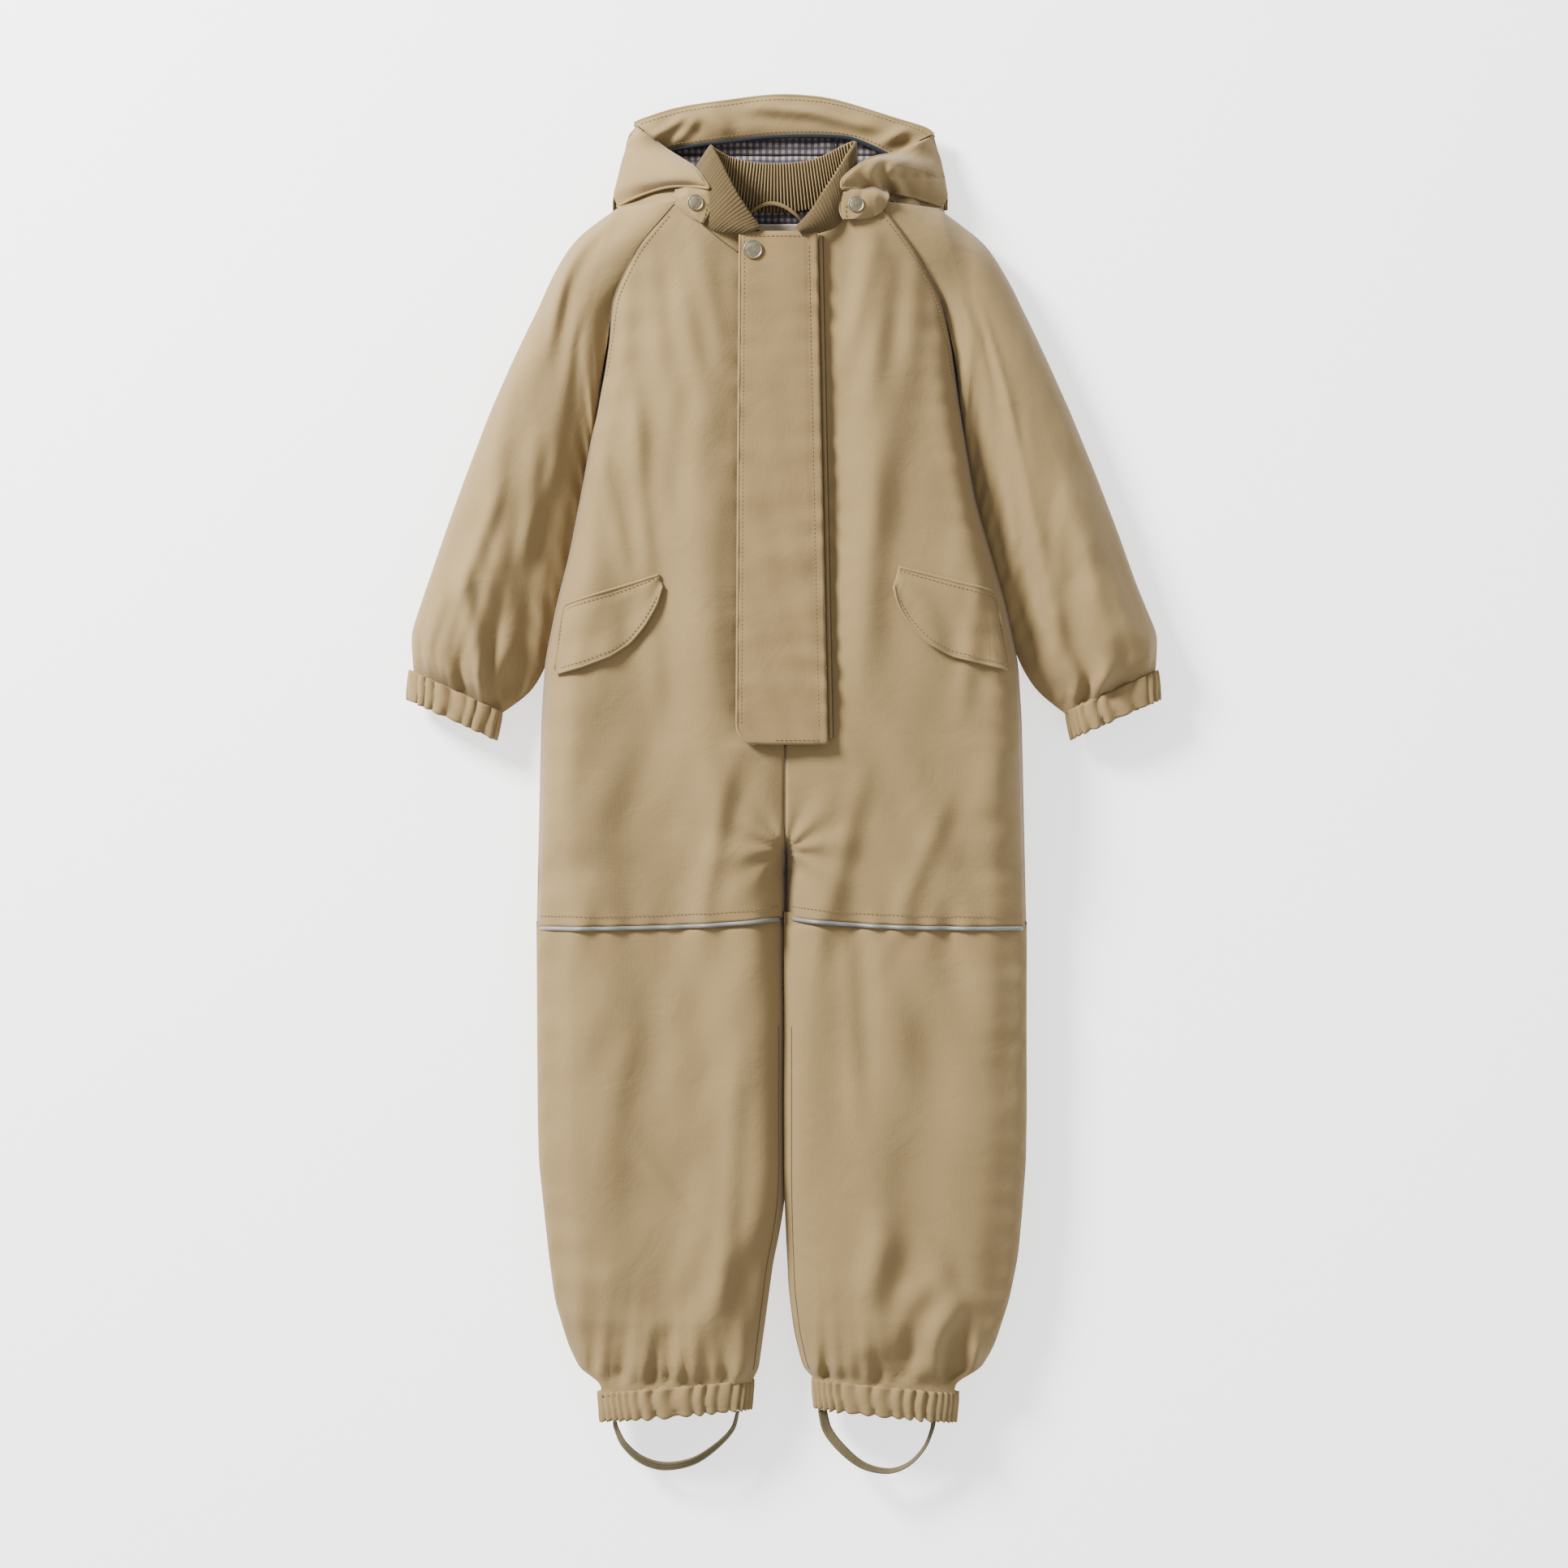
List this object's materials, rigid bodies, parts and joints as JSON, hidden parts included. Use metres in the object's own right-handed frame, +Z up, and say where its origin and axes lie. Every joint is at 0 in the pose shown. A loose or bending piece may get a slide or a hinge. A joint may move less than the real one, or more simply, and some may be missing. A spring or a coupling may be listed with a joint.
{
  "type": "child's hooded outdoor coverall",
  "caption": "Child's one-piece hooded outdoor coverall with storm flap, pocket flaps, elastic cuffs and foot straps, lying on its back.",
  "frame": {"origin": "centre of the garment's bounding box on the surface it lies on", "axes": "+Y towards the hood, +Z up from the surface and out of the garment's front, +X to the wearer's left"},
  "size_m": [0.5218, 0.9555, 0.064],
  "materials": {
    "shell_fabric": "matte",
    "rib_knit": "matte",
    "gingham_lining": "matte",
    "navy_elastic": "matte",
    "cream_label": "matte",
    "antique_metal": "brushed",
    "zip_metal": "satin",
    "zip_tape": "matte",
    "loop_cord": "matte",
    "olive_elastic": "matte",
    "reflective_piping": "satin"
  },
  "bodies": {
    "coverall": {"right_front_panel": "shell_fabric", "left_front_panel": "shell_fabric", "right_back_panel": "shell_fabric", "left_back_panel": "shell_fabric", "right_knee_piping": "reflective_piping", "left_knee_piping": "reflective_piping", "right_pocket_bag": "gingham_lining", "left_pocket_bag": "gingham_lining", "right_shoulder_front": "shell_fabric", "right_shoulder_back": "shell_fabric", "left_shoulder_front": "shell_fabric", "left_shoulder_back": "shell_fabric", "rib_collar": "rib_knit", "neck_facing": "gingham_lining", "neck_label": "cream_label", "right_zip_tape": "zip_tape", "left_zip_tape": "zip_tape", "zip_teeth": "zip_metal", "zip_bottom_stop": "zip_metal", "storm_flap_welt": "shell_fabric", "storm_flap_snap_stud": "antique_metal", "right_hood_snap_stud": "antique_metal", "left_hood_snap_stud": "antique_metal", "hood_lower_shell": "shell_fabric", "hood_lining": "gingham_lining", "right_hood_wing": "shell_fabric", "left_hood_wing": "shell_fabric"},
    "hanger": {"hanger_loop": "loop_cord"},
    "slider": {"zip_slider": "zip_metal"},
    "pull_tab": {"zip_pull": "zip_metal"},
    "storm_flap": {"storm_flap": "shell_fabric", "storm_flap_snap_cap": "antique_metal"},
    "hood_crown": {"hood_crown_shell": "shell_fabric", "hood_facing_band": "shell_fabric", "hood_elastic_binding": "navy_elastic", "hood_crown_lining": "gingham_lining"},
    "right_pocket_flap": {"right_pocket_flap": "shell_fabric"},
    "right_hood_tab": {"right_hood_tab": "shell_fabric", "right_hood_snap_cap": "antique_metal"},
    "right_sleeve": {"right_sleeve_front": "shell_fabric", "right_sleeve_back": "shell_fabric", "right_sleeve_cuff": "shell_fabric"},
    "right_lower_leg": {"right_lower_leg_front": "shell_fabric", "right_lower_leg_back": "shell_fabric", "right_ankle_cuff": "shell_fabric"},
    "right_foot_strap": {"right_foot_strap": "olive_elastic"},
    "left_pocket_flap": {"left_pocket_flap": "shell_fabric"},
    "left_hood_tab": {"left_hood_tab": "shell_fabric", "left_hood_snap_cap": "antique_metal"},
    "left_sleeve": {"left_sleeve_front": "shell_fabric", "left_sleeve_back": "shell_fabric", "left_sleeve_cuff": "shell_fabric"},
    "left_lower_leg": {"left_lower_leg_front": "shell_fabric", "left_lower_leg_back": "shell_fabric", "left_ankle_cuff": "shell_fabric"},
    "left_foot_strap": {"left_foot_strap": "olive_elastic"}
  },
  "joints": [
    {"name": "hanger_loop_swing", "type": "hinge", "parent": "coverall", "child": "hanger", "pos_m": [-0.008, 0.388, 0.012], "axis": [1, 0, 0], "range_deg": [0, 60]},
    {"name": "zip_slide", "type": "slide", "parent": "coverall", "child": "slider", "axis": [0, -1, 0], "range_m": [0, 0.318]},
    {"name": "zip_pull_lift", "type": "hinge", "parent": "slider", "child": "pull_tab", "pos_m": [0, 0.371, 0.0551], "axis": [-1, 0, 0], "range_deg": [0, 10]},
    {"name": "storm_flap_open", "type": "hinge", "parent": "coverall", "child": "storm_flap", "pos_m": [0.0294, 0.0274, 0.05975], "axis": [-0.0208, 0.9998, 0], "range_deg": [0, 130]},
    {"name": "right_pocket_flap_open", "type": "hinge", "parent": "coverall", "child": "right_pocket_flap", "pos_m": [-0.084, 0.1445, 0.06], "axis": [-0.945, -0.2961, -0.1386], "range_deg": [0, 100]},
    {"name": "left_pocket_flap_open", "type": "hinge", "parent": "coverall", "child": "left_pocket_flap", "pos_m": [0.0755, 0.1495, 0.06], "axis": [-0.9582, 0.2491, 0.1405], "range_deg": [0, 100]},
    {"name": "hood_crown_fold", "type": "hinge", "parent": "coverall", "child": "hood_crown", "pos_m": [0, 0.437, 0.0163], "axis": [1, 0, 0], "range_deg": [0, 80]},
    {"name": "right_hood_tab_lift", "type": "hinge", "parent": "coverall", "child": "right_hood_tab", "pos_m": [-0.065, 0.406, 0.0612], "axis": [-1, 0, 0], "range_deg": [0, 60]},
    {"name": "left_hood_tab_lift", "type": "hinge", "parent": "coverall", "child": "left_hood_tab", "pos_m": [0.056, 0.406, 0.0612], "axis": [-1, 0, 0], "range_deg": [0, 60]},
    {"name": "right_sleeve_swing", "type": "hinge", "parent": "coverall", "child": "right_sleeve", "pos_m": [-0.124, 0.3328, 0.02], "axis": [0, 0, -1], "range_deg": [0, 45]},
    {"name": "left_sleeve_swing", "type": "hinge", "parent": "coverall", "child": "left_sleeve", "pos_m": [0.1169, 0.333, 0.02], "axis": [0, 0, 1], "range_deg": [0, 45]},
    {"name": "right_knee_fold", "type": "hinge", "parent": "coverall", "child": "right_lower_leg", "pos_m": [-0.086, -0.096, 0.0445], "axis": [-1, 0, 0], "range_deg": [0, 100]},
    {"name": "left_knee_fold", "type": "hinge", "parent": "coverall", "child": "left_lower_leg", "pos_m": [0.083, -0.096, 0.0445], "axis": [-1, 0, 0], "range_deg": [0, 100]},
    {"name": "right_foot_strap_swing", "type": "hinge", "parent": "right_lower_leg", "child": "right_foot_strap", "pos_m": [-0.075, -0.4438, 0.0195], "axis": [-1, 0, 0], "range_deg": [0, 90]},
    {"name": "left_foot_strap_swing", "type": "hinge", "parent": "left_lower_leg", "child": "left_foot_strap", "pos_m": [0.065, -0.4438, 0.0195], "axis": [-1, 0, 0], "range_deg": [0, 90]}
  ]
}
